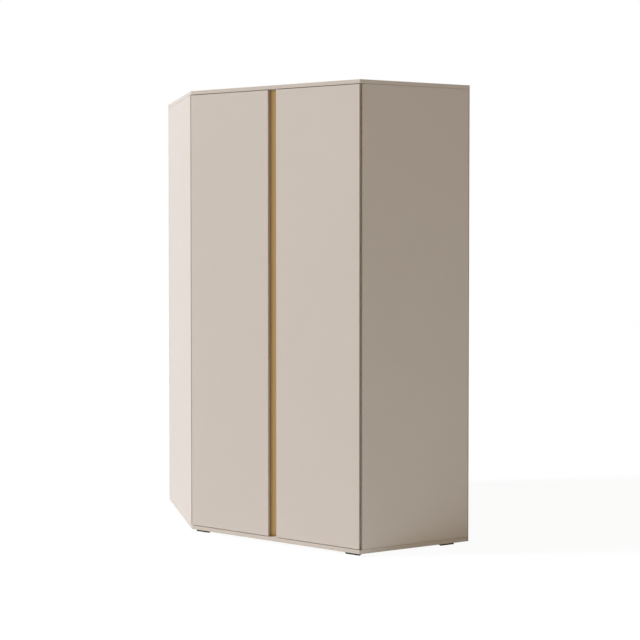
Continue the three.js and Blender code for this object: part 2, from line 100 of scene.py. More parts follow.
def srgb(red, green, blue):
    """A colour given as it shows on a screen, 0 to 255, as the linear values that a shader takes."""
    shares = (red / 255, green / 255, blue / 255)
    return tuple(s / 12.92 if s <= 0.04045 else ((s + 0.055) / 1.055) ** 2.4 for s in shares)


def colour(name, description, shown):
    return FloatVectorProperty(
        name=name, description=description, subtype="COLOR", size=3, min=0, max=1, default=srgb(*shown)
    )


def length(name, description, metres):
    return FloatProperty(
        name=name, description=description, unit="LENGTH", min=0, default=metres, precision=5
    )


class BoardSettings(bpy.types.PropertyGroup):
    laminate: colour("Laminate", "Matte laminate on the broad faces", (205, 194, 186))
    band: colour("Edge band", "Plastic band on the narrow faces", (203, 192, 183))
    hardboard: colour("Hardboard", "Bare outer face of the back panels", (150, 116, 82))
    band_thickness: length("Band thickness", "How wide the band shows round a broad face", 0.001)
    edge_round: length("Edge round", "Radius along the edges of a board", 0.0009)
    door_round: length("Door edge round", "Radius along the edges of a door", 0.0004)
    joint_gap: length("Joint gap", "Shadow line between an end panel and the plates", 0.0008)
    texture_grain: length("Texture grain", "Size of the laminate's fine pearl texture", 0.0012)


class StripSettings(bpy.types.PropertyGroup):
    gold: colour("Gold", "Anodised metal of the grip strip", (183, 151, 103))
    edge_round: length("Edge round", "Radius along the strip's edges", 0.0004)


class FittingSettings(bpy.types.PropertyGroup):
    nickel: colour("Nickel", "Plating of the hinges and screws", (190, 190, 188))
    zinc: colour("Zinc", "Plating of the angle brackets", (176, 180, 184))
    chrome: colour("Chrome", "Plating of the rail and its hangers", (222, 224, 226))
    rubber: colour("Bumper", "Soft pads that the doors close on", (225, 222, 214))
    feet: colour("Feet", "Moulded black plastic", (20, 19, 19))
    screw_head: length("Screw head", "Radius of a screw head", 0.0036)
    cam_radius: length("Cam radius", "Radius of a cam fitting", 0.0075)
    nail_spacing: length("Nail spacing", "Distance between the nails of a back panel", 0.12)


class StageSettings(bpy.types.PropertyGroup):
    camera_place: FloatVectorProperty(
        name="Camera",
        description="Where the camera stands",
        subtype="TRANSLATION",
        default=(2.0855, -4.5451, 1.4401),
    )
    camera_turn: FloatProperty(name="Turn", description="Degrees the camera turns left", default=25.039)
    camera_dip: FloatProperty(name="Dip", description="Degrees the camera looks down", default=1.121)
    camera_shift: FloatProperty(name="Shift", description="Upward shift of the lens", default=-0.11)
    lens: FloatProperty(name="Lens", description="Focal length in millimetres", default=55.007)
    lamp_distance: length("Lamp distance", "How far off the lamps are", 28)
    sky_level: FloatProperty(name="Sky", description="Level of the light from all round", default=0.14)
    sky: colour("Sky colour", "Tint of the light from all round", (255, 243, 209))
    floor_reach: length("Floor reach", "Half the width of the floor", 12)
    floor: colour("Floor", "Pale floor", (237, 237, 237))


# Materials


class Material:
    """A Principled material with helpers that add procedural detail on Object coordinates."""

    def __init__(self, name, base, roughness, metallic=0.0, **sockets):
        self.material = bpy.data.materials.new(name)
        self.material.use_nodes = True
        self.tree = self.material.node_tree
        self.shader = self.tree.nodes["Principled BSDF"]
        self.shader.inputs["Base Color"].default_value = (*base, 1)
        self.shader.inputs["Roughness"].default_value = roughness
        self.shader.inputs["Metallic"].default_value = metallic
        for socket, value in sockets.items():
            self.shader.inputs[socket.replace("_", " ")].default_value = value
        self.base = base
        self.shown = None
        self.raised = None
        self.place = self.node("ShaderNodeTexCoord").outputs["Object"]

    def node(self, kind, **values):
        made = self.tree.nodes.new(kind)
        for key, value in values.items():
            if key in made.inputs:
                made.inputs[key].default_value = value
            else:
                setattr(made, key, value)
        return made

    def link(self, output, target):
        self.tree.links.new(output, target)

    def noise(self, size, stretch=(1, 1, 1), detail=2.0):
        """Noise whose features are about size metres, drawn out along the axes by stretch."""
        mapping = self.node("ShaderNodeMapping")
        mapping.inputs["Scale"].default_value = [1 / (size * s) for s in stretch]
        texture = self.node("ShaderNodeTexNoise", Scale=1.0, Detail=detail)
        self.link(self.place, mapping.inputs["Vector"])
        self.link(mapping.outputs["Vector"], texture.inputs["Vector"])
        return texture.outputs["Fac"]

    def spread(self, factor, low, high):
        """Takes the middle range of a noise to the values from low to high."""
        ranged = self.node("ShaderNodeMapRange")
        ranged.inputs["From Min"].default_value = NOISE_LOW
        ranged.inputs["From Max"].default_value = NOISE_HIGH
        ranged.inputs["To Min"].default_value = low
        ranged.inputs["To Max"].default_value = high
        self.link(factor, ranged.inputs["Value"])
        return ranged.outputs["Result"]

    def tint(self, factor, share):
        """Lightens and darkens the colour by up to share; a second tint adds to the first."""
        scaled = self.node("ShaderNodeVectorMath", operation="SCALE")
        if self.shown is None:
            scaled.inputs[0].default_value = self.base
        else:
            self.link(self.shown, scaled.inputs[0])
        self.link(self.spread(factor, 1 - share, 1 + share), scaled.inputs["Scale"])
        self.shown = scaled.outputs["Vector"]
        self.link(self.shown, self.shader.inputs["Base Color"])

    def vary_roughness(self, factor, low, high):
        self.link(self.spread(factor, low, high), self.shader.inputs["Roughness"])

    def bump(self, factor, depth, strength=1.0):
        """Raises the surface where the factor is high; a second bump adds to the first."""
        bump = self.node("ShaderNodeBump", Strength=strength, Distance=depth)
        self.link(factor, bump.inputs["Height"])
        if self.raised is not None:
            self.link(self.raised, bump.inputs["Normal"])
        self.raised = bump.outputs["Normal"]
        self.link(self.raised, self.shader.inputs["Normal"])


FINISHES = {}


def finish(name, make):
    """The material of that name, made once."""
    if name not in FINISHES:
        FINISHES[name] = make().material
    return FINISHES[name]


def laminate():
    boards = bpy.context.scene.wardrobe_boards

    def make():
        made = Material("cashmere_laminate", boards.laminate, roughness=0.5, Specular_IOR_Level=0.3)
        made.tint(made.noise(size=0.35, detail=3.0), share=0.008)
        made.tint(made.noise(size=boards.texture_grain * 0.8, detail=4.0), share=0.024)
        made.vary_roughness(made.noise(size=0.012, detail=4.0), low=0.45, high=0.55)
        made.bump(made.noise(size=boards.texture_grain, detail=3.0), depth=0.00015, strength=0.9)
        return made

    return finish("laminate", make)


def edge_band():
    boards = bpy.context.scene.wardrobe_boards

    def make():
        made = Material("edge_band", boards.band, roughness=0.42, Specular_IOR_Level=0.3)
        made.tint(made.noise(size=0.06, detail=2.0), share=0.008)
        made.tint(made.noise(size=0.0005, detail=3.0), share=0.01)
        made.bump(made.noise(size=0.0006, detail=2.0), depth=0.00003, strength=0.6)
        return made

    return finish("edge_band", make)


def bare_hardboard():
    boards = bpy.context.scene.wardrobe_boards

    def make():
        made = Material("bare_hardboard", boards.hardboard, roughness=0.78)
        made.tint(made.noise(size=0.09, stretch=(1, 1, 1.6), detail=4.0), share=0.06)
        made.tint(made.noise(size=0.004, stretch=(1, 1, 2.5), detail=6.0), share=0.1)
        made.tint(made.noise(size=0.0007, stretch=(1, 1, 9), detail=3.0), share=0.09)
        made.vary_roughness(made.noise(size=0.03, detail=4.0), low=0.7, high=0.86)
        made.bump(made.noise(size=0.0016, detail=5.0), depth=0.0002, strength=0.6)
        return made

    return finish("bare_hardboard", make)


def pale_lacquer():
    boards = bpy.context.scene.wardrobe_boards

    def make():
        made = Material("pale_lacquer", boards.laminate, roughness=0.6)
        made.tint(made.noise(size=0.2, detail=3.0), share=0.01)
        made.tint(made.noise(size=0.003, detail=5.0), share=0.014)
        made.bump(made.noise(size=0.002, detail=4.0), depth=0.0001, strength=0.6)
        return made

    return finish("pale_lacquer", make)


def brushed_gold():
    strip = bpy.context.scene.wardrobe_strip

    def make():
        made = Material("brushed_gold", strip.gold, roughness=0.5, metallic=1.0)
        streaks = made.noise(size=0.0004, stretch=(1, 1, 400), detail=2.0)
        made.tint(streaks, share=0.06)
        wear = made.noise(size=0.0006, stretch=(1, 1, 300), detail=2.0)
        made.vary_roughness(wear, low=0.46, high=0.54)
        made.bump(streaks, depth=0.00004, strength=0.6)
        return made

    return finish("brushed_gold", make)


def plated(name, base, roughness, grain):
    """A plated metal with a fine grain."""

    def make():
        made = Material(name, base, roughness, metallic=1.0)
        made.tint(made.noise(size=grain * 6, detail=3.0), share=0.025)
        wear = made.noise(size=grain * 3, detail=3.0)
        made.vary_roughness(wear, low=roughness * 0.8, high=roughness * 1.25)
        made.bump(made.noise(size=grain, detail=2.0), depth=0.00001, strength=0.4)
        return made

    return finish(name, make)


def nickel():
    fittings = bpy.context.scene.wardrobe_fittings
    return plated("nickel_plate", fittings.nickel, roughness=0.24, grain=0.001)


def zinc():
    fittings = bpy.context.scene.wardrobe_fittings
    return plated("zinc_plate", fittings.zinc, roughness=0.34, grain=0.0008)


def chrome():
    fittings = bpy.context.scene.wardrobe_fittings
    return plated("chrome_plate", fittings.chrome, roughness=0.08, grain=0.003)


def black_plastic():
    fittings = bpy.context.scene.wardrobe_fittings

    def make():
        made = Material("black_plastic", fittings.feet, roughness=0.65, Specular_IOR_Level=0.15)
        made.tint(made.noise(size=0.01, detail=2.0), share=0.1)
        made.bump(made.noise(size=0.0008, detail=3.0), depth=0.00008, strength=0.7)
        return made

    return finish("black_plastic", make)


def soft_pad():
    fittings = bpy.context.scene.wardrobe_fittings

    def make():
        made = Material("soft_pad", fittings.rubber, roughness=0.35)
        made.tint(made.noise(size=0.003, detail=2.0), share=0.02)
        made.bump(made.noise(size=0.0007, detail=2.0), depth=0.00003, strength=0.5)
        return made

    return finish("soft_pad", make)


# Shapes


def merged_copy(node):
    """A CAD node's solid with its loose triangles merged and its flat faces made whole."""
    bm = bmesh.new()
    bm.from_mesh(NODES[node].data)
    bmesh.ops.remove_doubles(bm, verts=bm.verts, dist=WELD)
    bmesh.ops.dissolve_limit(
        bm, angle_limit=math.radians(0.5), verts=bm.verts, edges=bm.edges, use_dissolve_boundaries=False
    )
    return bm


def round_edges(bm, radius, segments=2, longer_than=0.0, sharper_than=30):
    """Rounds the sharp edges that are longer than a length."""
    sharp = [
        edge
        for edge in bm.edges
        if len(edge.link_faces) == 2
        and edge.calc_length() > longer_than
        and edge.calc_face_angle(0) > math.radians(sharper_than)
    ]
    bevel_all(bm, sharp, radius, segments)


def bevel_all(bm, edges, radius, segments):
    """Rounds these edges."""
    bmesh.ops.bevel(
        bm,
        geom=list(edges),
        offset=radius,
        offset_type="OFFSET",
        affect="EDGES",
        segments=segments,
        profile=0.5,
        material=-1,
        clamp_overlap=True,
    )


def add_piece(name, bm, materials, node=None, body=None, replaced=(), smooth=None):
    """Makes an object of a bmesh, lets it ride, and hides the CAD nodes that it stands for."""
    mesh = bpy.data.meshes.new(name)
    bm.to_mesh(mesh)
    bm.free()
    for material in materials:
        mesh.materials.append(material)
    if smooth is not None:
        mesh.shade_smooth()
        mesh.set_sharp_from_angle(angle=math.radians(smooth))
    piece = bpy.data.objects.new(name, mesh)
    bpy.context.scene.collection.objects.link(piece)
    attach(piece, body or BODY_OF[node])
    stands_for = replaced or ((node,) if node else ())
    if stands_for:
        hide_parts(*stands_for)
    return piece


def thickness_axis(bm):
    """The normal of the largest face, which is the direction that a board is thin in."""
    return max(bm.faces, key=lambda face: face.calc_area()).normal.copy()


def dress_board(node, joint_gap=0.0):
    """A board with rounded edges, banded narrow faces and laminate on its broad faces.

    With a joint gap its two ends stop short of the plates above and below.
    """
    boards = bpy.context.scene.wardrobe_boards
    bm = merged_copy(node)
    low, high = reach(node, UP)
    for vert in bm.verts:
        vert.co.z += joint_gap if vert.co.z < (low + high) / 2 else -joint_gap
    across = thickness_axis(bm)
    broad_area = max(face.calc_area() for face in bm.faces) / 2
    round_edges(bm, boards.edge_round, longer_than=SHORT_EDGE)
    broad = [
        face
        for face in bm.faces
        if abs(face.normal.dot(across)) > 0.999 and face.calc_area() > broad_area
    ]
    for face in bm.faces:
        face.material_index = 1
    bmesh.ops.inset_individual(bm, faces=broad, thickness=boards.band_thickness, use_even_offset=True)
    for face in broad:
        face.material_index = 0
    return add_piece(f"{node}_dressed", bm, [laminate(), edge_band()], node)


def dress_door(side):
    """A door: as a board, but its back keeps the blind bores of the hinge cups."""
    boards = bpy.context.scene.wardrobe_boards
    node = f"{side}_door"
    bm = merged_copy(node)
    low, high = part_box(node)
    round_edges(bm, boards.door_round, longer_than=SHORT_EDGE)
    for axis in (0, 2):
        for end, sense in ((low, 1), (high, -1)):
            point = end.copy()
            point[axis] += sense * boards.band_thickness
            normal = Vector([sense if i == axis else 0 for i in range(3)])
            geometry = [*bm.verts, *bm.edges, *bm.faces]
            bmesh.ops.bisect_plane(bm, geom=geometry, plane_co=point, plane_no=normal, dist=WELD)
    inside_low, inside_high = low.copy(), high.copy()
    for axis in (0, 2):
        inside_low[axis] += boards.band_thickness
        inside_high[axis] -= boards.band_thickness
    for face in bm.faces:
        middle = face.calc_center_median()
        within = all(inside_low[axis] < middle[axis] < inside_high[axis] for axis in (0, 2))
        face.material_index = 0 if within else 1
    return add_piece(f"{node}_dressed", bm, [laminate(), edge_band()], node)


def dress_back_panel(side):
    """Thin hardboard: lacquered towards the inside and bare towards the wall."""
    boards = bpy.context.scene.wardrobe_boards
    node = f"{side}_back_panel"
    bm = merged_copy(node)
    outward = Vector((SIDES[side], 1, 0)).normalized()
    round_edges(bm, boards.edge_round / 2, segments=1)
    for face in bm.faces:
        face.material_index = 0 if face.normal.dot(outward) < -0.9 else 1
    return add_piece(f"{node}_dressed", bm, [pale_lacquer(), bare_hardboard()], node)


def along_end(side):
    """The direction that runs along an end panel from the front to the wall."""
    return Vector((SIDES[side] * DIAGONAL, DIAGONAL, 0))


def into_carcass(side):
    """The direction from an end panel into the carcass."""
    return Vector((-SIDES[side] * DIAGONAL, DIAGONAL, 0))


def facing(direction, point, roll=0.0):
    """The transform that stands something made about +Z at a point, turned to face a direction.

    The rolls of screws and cams differ, so that their crosses don't line up.
    """
    turn = UP.rotation_difference(direction).to_matrix().to_4x4()
    return Matrix.Translation(point) @ turn @ Matrix.Rotation(roll, 4, "Z")


def centre(node):
    """The middle of a CAD node's box."""
    low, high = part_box(node)
    return (low + high) / 2


def stamped(template, places):
    """One bmesh that holds a copy of the template at each place."""
    pattern = bpy.data.meshes.new("pattern")
    template.to_mesh(pattern)
    template.free()
    bm = bmesh.new()
    for place in places:
        before = len(bm.verts)
        bm.from_mesh(pattern)
        bm.verts.ensure_lookup_table()
        bmesh.ops.transform(bm, matrix=place, verts=bm.verts[before:])
    bpy.data.meshes.remove(pattern)
    return bm


def turned(profile, steps=48):
    """A closed surface spun about +Z from a profile of radius and height that ends on the axis."""
    bm = bmesh.new()
    verts = [bm.verts.new((radius, 0, height)) for radius, height in profile]
    edges = [bm.edges.new(pair) for pair in zip(verts, verts[1:])]
    bmesh.ops.spin(
        bm,
        geom=verts + edges,
        cent=(0, 0, 0),
        axis=UP,
        angle=math.tau,
        steps=steps,
        use_merge=True,
        use_duplicate=False,
    )
    bmesh.ops.remove_doubles(bm, verts=bm.verts, dist=WELD / 10)
    bmesh.ops.recalc_face_normals(bm, faces=bm.faces)
    return bm


def cross_head(radius, height, recess, sink=0.0003):
    """A low domed screw head that faces +Z from the level of its seat, with a cross recess.

    The middle of a grid is the cross, a ring joins it to the crown, and the rim is drawn down.
    """
    arm, arm_narrowing, floor_share = radius * 0.56, 0.5, 0.75
    crown = radius * 0.7
    rim_steps = ((0.9, height * 0.8), (1.0, height * 0.4), (1.0, -sink))
    bm = bmesh.new()
    bmesh.ops.create_grid(bm, x_segments=3, y_segments=3, size=arm)
    corners = [face for face in bm.faces if min(map(abs, face.calc_center_median()[:2])) > arm / 3]
    bmesh.ops.delete(bm, geom=corners, context="FACES")
    for vert in bm.verts:
        for axis in (0, 1):
            if abs(vert.co[axis]) < arm / 2:
                vert.co[axis] *= arm_narrowing
    cross = list(bm.faces)
    half_step = Matrix.Rotation(math.radians(15), 4, "Z")
    bmesh.ops.create_circle(bm, segments=12, radius=crown, matrix=half_step)
    bmesh.ops.bridge_loops(bm, edges=[edge for edge in bm.edges if len(edge.link_faces) < 2])
    bmesh.ops.translate(bm, verts=bm.verts, vec=(0, 0, height))
    rim = [edge for edge in bm.edges if len(edge.link_faces) == 1]
    for share, level in rim_steps:
        skirt = bmesh.ops.extrude_edge_only(bm, edges=rim)["geom"]
        rim = [item for item in skirt if isinstance(item, bmesh.types.BMEdge)]
        for vert in {vert for edge in rim for vert in edge.verts}:
            vert.co = Vector((vert.co.x, vert.co.y, 0)).normalized() * radius * share + UP * level
        rim = [edge for edge in rim if len(edge.link_faces) == 1]
    bmesh.ops.edgeloop_fill(bm, edges=rim)
    floor = bmesh.ops.extrude_face_region(bm, geom=cross)["geom"]
    bmesh.ops.delete(bm, geom=cross, context="FACES")
    sunk = [item for item in floor if isinstance(item, bmesh.types.BMVert)]
    bmesh.ops.translate(bm, vec=(0, 0, -recess), verts=sunk)
    bmesh.ops.scale(bm, vec=(floor_share, floor_share, 1), verts=sunk)
    bmesh.ops.recalc_face_normals(bm, faces=bm.faces)
    return bm


def screw_head(radius):
    """A pan head whose recess is nearly as deep as the head is high."""
    height = radius * 0.45
    return cross_head(radius, height, height * 0.9)


def add_screws(name, places, radius, node):
    """Screw heads at the places as one piece, which rides with the node that they hold."""
    bm = stamped(screw_head(radius), places)
    add_piece(name, bm, [nickel()], body=BODY_OF[node], smooth=50)


def reach(node, direction):
    """How far a CAD node reaches along a direction: its lowest and its highest point."""
    distances = [vertex.co.dot(direction) for vertex in NODES[node].data.vertices]
    return min(distances), max(distances)


def end_point(side, along, inward, height):
    """A point from its distances along an end panel and square to it, measured from the origin."""
    return along_end(side) * along + into_carcass(side) * inward + UP * height


# Pieces


class WARDROBE_OT_carcass(bpy.types.Operator):
    """Dress the plates, end panels, stiles, shelf and centre post"""

    bl_idname = "wardrobe.carcass"
    bl_label = "Carcass boards"

    def execute(self, context):
        boards = (
            "top_plate",
            "bottom_plate",
            "left_corner_stile",
            "right_corner_stile",
            "hat_shelf",
            "centre_post",
        )
        for node in boards:
            dress_board(node)
        for side in SIDES:
            dress_board(f"{side}_end_panel", context.scene.wardrobe_boards.joint_gap)
        for side in SIDES:
            dress_back_panel(side)
        return {"FINISHED"}


class WARDROBE_OT_doors(bpy.types.Operator):
    """Dress the two doors"""

    bl_idname = "wardrobe.doors"
    bl_label = "Doors"

    def execute(self, context):
        for side in SIDES:
            dress_door(side)
        return {"FINISHED"}


class WARDROBE_OT_grip_strip(bpy.types.Operator):
    """Dress the gold strip in the grip groove"""

    bl_idname = "wardrobe.grip_strip"
    bl_label = "Grip strip"

    def execute(self, context):
        bm = merged_copy("gold_strip")
        round_edges(bm, context.scene.wardrobe_strip.edge_round)
        add_piece("gold_strip_dressed", bm, [brushed_gold()], "gold_strip")
        return {"FINISHED"}


class WARDROBE_OT_hinges(bpy.types.Operator):
    """Dress the hinge cups, arms and plates, with their screws and what lies in the cups"""

    bl_idname = "wardrobe.hinges"
    bl_label = "Hinges"

    def execute(self, context):
        edge_rounds = {"cup": 0.00025, "arm": 0.0004, "plate": 0.0003}
        for side in SIDES:
            for number in HINGES:
                for kind, radius in edge_rounds.items():
                    node = f"{side}_hinge_{kind}_{number}"
                    bm = merged_copy(node)
                    round_edges(bm, radius, sharper_than=40)
                    add_piece(f"{node}_dressed", bm, [nickel()], node, smooth=35)
                self.cup_linkage(side, number)
            self.screws(side, context.scene.wardrobe_fittings.screw_head)
        return {"FINISHED"}

    def cup_linkage(self, side, number):
        """Two pins, the folded link between them and the soft-close block, all below the cup's rim.

        Places in the cup are pairs: how far aside of its middle, and how far below its rim.
        """
        pin_radius, pin_length = 0.0013, 0.030
        near_pin, far_pin, damper = (0.006, 0.0034), (-0.003, 0.0062), (-0.0105, 0.0062)
        between = ((near_pin[0] + far_pin[0]) / 2, (near_pin[1] + far_pin[1]) / 2)
        slope = math.atan2(far_pin[1] - near_pin[1], near_pin[0] - far_pin[0])
        link_size, link_round = (0.0135, 0.0046, 0.011), 0.0009
        damper_size, damper_round = (0.007, 0.0095, 0.016), 0.0008
        cup = f"{side}_hinge_cup_{number}"
        middle, rim = centre(cup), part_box(cup)[1].y

        def at(place):
            aside, depth = place
            return Matrix.Translation((middle.x + SIDES[side] * aside, rim - depth, middle.z))

        bm = bmesh.new()
        for pin in (near_pin, far_pin):
            bmesh.ops.create_cone(
                bm,
                cap_ends=True,
                segments=16,
                radius1=pin_radius,
                radius2=pin_radius,
                depth=pin_length,
                matrix=at(pin),
            )
        link = bmesh.ops.create_cube(bm, size=1)["verts"]
        turn, size = Matrix.Rotation(slope * SIDES[side], 4, "Z"), Matrix.Diagonal((*link_size, 1))
        bmesh.ops.transform(bm, verts=link, matrix=at(between) @ turn @ size)
        bevel_all(bm, {edge for vert in link for edge in vert.link_edges}, link_round, 3)
        body = BODY_OF[cup]
        add_piece(f"{cup}_linkage", bm, [nickel()], body=body, smooth=35)
        bm = bmesh.new()
        bmesh.ops.create_cube(bm, size=1)
        bmesh.ops.transform(bm, verts=bm.verts, matrix=at(damper) @ Matrix.Diagonal((*damper_size, 1)))
        bevel_all(bm, bm.edges, damper_round, 2)
        add_piece(f"{cup}_damper", bm, [black_plastic()], body=body, smooth=35)

    def screws(self, side, radius):
        """Two screws in the wings of each cup, two in each plate and two on each arm."""
        wing_back, wing_reach = 0.0095, 0.024
        plate_thickness, plate_reach = 0.002, 0.016
        arm_drop, arm_start, arm_reach = 0.005, -0.001, 0.0115
        arm_screw_share = 0.82
        in_cups, in_plates, on_arms = [], [], []
        inward = into_carcass(side)
        for number in HINGES:
            cup, plate, arm = (f"{side}_hinge_{kind}_{number}" for kind in ("cup", "plate", "arm"))
            middle = centre(cup)
            plate_middle = sum(reach(plate, along_end(side))) / 2
            plate_face = reach(plate, inward)[0] + plate_thickness
            arm_top = reach(arm, inward)[1] - arm_drop
            height = centre(plate).z
            for end in (-1, 1):
                wing_x = middle.x - SIDES[side] * wing_back
                wing = Vector((wing_x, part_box(cup)[1].y, middle.z + end * wing_reach))
                in_cups.append(facing(-FORWARD, wing, roll=0.5 * end + number))
                hole = end_point(side, plate_middle, plate_face, height + end * plate_reach)
                in_plates.append(facing(inward, hole, roll=0.8 * end - number))
                top = end_point(side, plate_middle + arm_start + end * arm_reach, arm_top, height)
                on_arms.append(facing(inward, top, roll=0.3 * end + number))
        add_screws(f"{side}_cup_screws", in_cups, radius, f"{side}_door")
        add_screws(f"{side}_plate_screws", in_plates, radius, f"{side}_hinge_plate_1")
        add_screws(f"{side}_arm_screws", on_arms, radius * arm_screw_share, f"{side}_hinge_arm_1")


class WARDROBE_OT_rail(bpy.types.Operator):
    """Make the clothes rail as a smooth oval tube, and dress its hangers with their screws"""

    bl_idname = "wardrobe.rail"
    bl_label = "Clothes rail"

    def execute(self, context):
        wall, segments = 0.0012, 40
        hanger_round, hanger_reach, flange = 0.0006, 0.016, 0.0025
        low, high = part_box("clothes_rail")
        width, height = high.y - low.y, high.z - low.z
        bm = bmesh.new()
        bmesh.ops.create_circle(
            bm,
            cap_ends=True,
            segments=segments,
            radius=width / 2,
            matrix=Matrix.Rotation(math.pi / segments, 4, "Z"),
        )
        for vert in bm.verts:
            vert.co.y += math.copysign((height - width) / 2, vert.co.y)
        section = list(bm.faces)
        bmesh.ops.inset_individual(bm, faces=section, thickness=wall, use_even_offset=True)
        bmesh.ops.delete(bm, geom=section, context="FACES")
        ring = [*bm.verts, *bm.edges, *bm.faces]
        far_end = bmesh.ops.extrude_face_region(bm, geom=ring, use_keep_orig=True)["geom"]
        far_verts = [item for item in far_end if isinstance(item, bmesh.types.BMVert)]
        bmesh.ops.translate(bm, vec=(0, 0, high.x - low.x), verts=far_verts)
        bmesh.ops.recalc_face_normals(bm, faces=bm.faces)
        place = Vector((low.x, (low.y + high.y) / 2, (low.z + high.z) / 2))
        lay = Matrix(((0, 0, 1), (1, 0, 0), (0, 1, 0))).to_4x4()
        bmesh.ops.transform(bm, verts=bm.verts, matrix=Matrix.Translation(place) @ lay)
        add_piece("clothes_rail_dressed", bm, [chrome()], "clothes_rail", smooth=35)
        screws = []
        for place in ("left", "middle", "right"):
            node = f"rail_hanger_{place}"
            bm = merged_copy(node)
            round_edges(bm, hanger_round, sharper_than=40)
            add_piece(f"{node}_dressed", bm, [chrome()], node, smooth=35)
            middle, shelf = centre(node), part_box(node)[1].z
            for end in (-1, 1):
                under = Vector((middle.x + end * hanger_reach, middle.y, shelf - flange))
                screws.append(facing(-UP, under, roll=end + middle.x))
        add_screws("hanger_screws", screws, context.scene.wardrobe_fittings.screw_head, "hat_shelf")
        return {"FINISHED"}


class WARDROBE_OT_brackets(bpy.types.Operator):
    """Dress the angle brackets of the shelf and the centre post, with their screws"""

    bl_idname = "wardrobe.brackets"
    bl_label = "Angle brackets"

    def execute(self, context):
        edge_round = 0.0004
        screws = []
        for node in sorted(NODES):
            if "support" in node or "bracket" in node:
                bm = merged_copy(node)
                round_edges(bm, edge_round, sharper_than=60)
                add_piece(f"{node}_dressed", bm, [zinc()], node, smooth=35)
                screws += self.screw_places(node)
        add_screws("bracket_screws", screws, context.scene.wardrobe_fittings.screw_head, "hat_shelf")
        return {"FINISHED"}

    def screw_places(self, node):
        """One screw in each leg: on the upright face, and under or over the level one."""
        thickness, post_hole, shelf_hole = 0.002, 0.021, 0.016
        side = "left" if "left" in node else "right"
        if "bracket" in node:
            outward, from_heel = -FORWARD, post_hole
        elif "rear" in node:
            outward, from_heel = -along_end(side), shelf_hole
        else:
            outward, from_heel = into_carcass(side), shelf_hole
        across = outward.cross(UP)
        seat = outward * reach(node, outward)[0] + across * sum(reach(node, across)) / 2
        low, high = reach(node, UP)
        heel, away = (low, 1) if "lower" in node else (high, -1)
        upright = seat + outward * thickness + UP * (heel + away * from_heel)
        level = seat + outward * from_heel + UP * (heel + away * thickness)
        return [facing(outward, upright, roll=heel * 9), facing(UP * away, level, roll=heel * 5)]


class WARDROBE_OT_joinery(bpy.types.Operator):
    """Add the cams that draw the boards together and the nails round the back panels"""

    bl_idname = "wardrobe.joinery"
    bl_label = "Cams and nails"

    def execute(self, context):
        self.cams(context.scene.wardrobe_fittings.cam_radius)
        self.nails(context.scene.wardrobe_fittings.nail_spacing)
        return {"FINISHED"}

    def cams(self, radius):
        """Cams near both ends of the end panels and the stiles."""
        height, recess = 0.0007, 0.0006
        from_end, from_front = 0.034, (0.06, 0.26, 0.46)
        places = []
        for side in SIDES:
            panel, stile = f"{side}_end_panel", f"{side}_corner_stile"
            inward, along = into_carcass(side), along_end(side)
            start, face = reach(panel, along)[0], reach(panel, inward)[1]
            low, high = reach(panel, UP)
            stile_face, stile_middle = reach(stile, along)[0], sum(reach(stile, inward)) / 2
            for level in (low + from_end, high - from_end):
                for distance in from_front:
                    point = end_point(side, start + distance, face, level)
                    places.append(facing(inward, point, roll=distance * 9 + level))
                point = end_point(side, stile_face, stile_middle, level)
                places.append(facing(-along, point, roll=level * 3))
        bm = stamped(cross_head(radius, height, recess), places)
        add_piece("cams", bm, [zinc()], body=BODY_OF["hat_shelf"], smooth=50)

    def nails(self, spacing):
        """Flat nail heads along the edges of the back panels and the line of the shelf."""
        radius, height = 0.0016, 0.0003
        border, corner_line = 0.009, 0.06
        places = []
        for side in SIDES:
            back = f"{side}_back_panel"
            outward, across = along_end(side), into_carcass(side)
            face = reach(back, outward)[1]
            low, high = reach(back, UP)
            near, far = reach(back, across)
            tall, wide = high - low - 2 * border, far - near - 2 * border
            rows, columns = math.ceil(tall / spacing), math.ceil(wide / spacing)
            grid = [(near + border, low + border + tall * row / rows) for row in range(rows + 1)]
            grid += [(far - corner_line, level) for edge, level in grid]
            for level in (low + border, high - border, centre("hat_shelf").z):
                for column in range(1, columns):
                    grid.append((near + border + wide * column / columns, level))
            places += [facing(outward, end_point(side, face, edge, level)) for edge, level in grid]
        crown = ((0, height), (radius * 0.8, height), (radius, height * 0.4))
        bm = stamped(turned((*crown, (radius, -height), (0, -height)), steps=8), places)
        add_piece("back_nails", bm, [zinc()], body=BODY_OF["hat_shelf"], smooth=50)


class WARDROBE_OT_feet(bpy.types.Operator):
    """Dress the five feet and add the screw in the recess of each"""

    bl_idname = "wardrobe.feet"
    bl_label = "Feet"

    def execute(self, context):
        edge_round, recess_depth, screw_share = 0.0008, 0.008, 1.2
        screws = []
        for node in sorted(NODES):
            if node.endswith("_foot"):
                bm = merged_copy(node)
                round_edges(bm, edge_round, sharper_than=60)
                add_piece(f"{node}_dressed", bm, [black_plastic()], node, smooth=35)
                middle = centre(node)
                middle.z = recess_depth
                screws.append(facing(-UP, middle, roll=middle.x * 5))
        radius = context.scene.wardrobe_fittings.screw_head * screw_share
        add_screws("foot_screws", screws, radius, "corner_foot")
        return {"FINISHED"}


